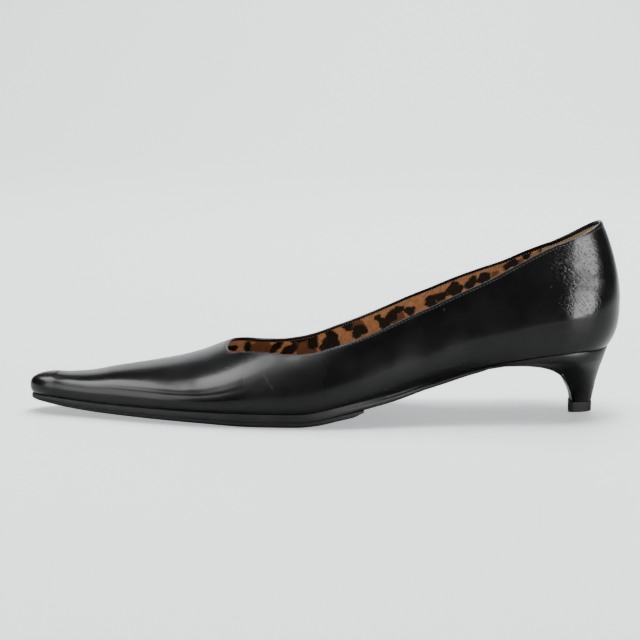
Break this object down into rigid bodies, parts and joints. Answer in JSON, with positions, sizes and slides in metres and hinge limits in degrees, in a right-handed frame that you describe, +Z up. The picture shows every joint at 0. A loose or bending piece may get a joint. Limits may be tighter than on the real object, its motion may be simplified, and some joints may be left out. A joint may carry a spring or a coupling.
{
  "type": "kitten heel pump",
  "caption": "Low-cut women's pump for the left foot with a long pointed toe, a hollow leather upper, thin soles and a short curved heel.",
  "frame": {"origin": "the floor point under the middle of the shoe's bounding box", "axes": "-X towards the toe, +Z up, -Y towards the outer side of the left foot"},
  "size_m": [0.269, 0.0786, 0.0877],
  "materials": {
    "upper": "polished black calf leather",
    "insole": "tan leather sock",
    "outsole": "satin black sole leather",
    "half_sole": "matt black rubber",
    "heel": "black leather cover",
    "top_lift": "matt dark rubber"
  },
  "bodies": {
    "root": {"upper": "upper", "insole": "insole", "outsole": "outsole", "half_sole": "half_sole", "heel": "heel", "top_lift": "top_lift"}
  },
  "joints": []
}
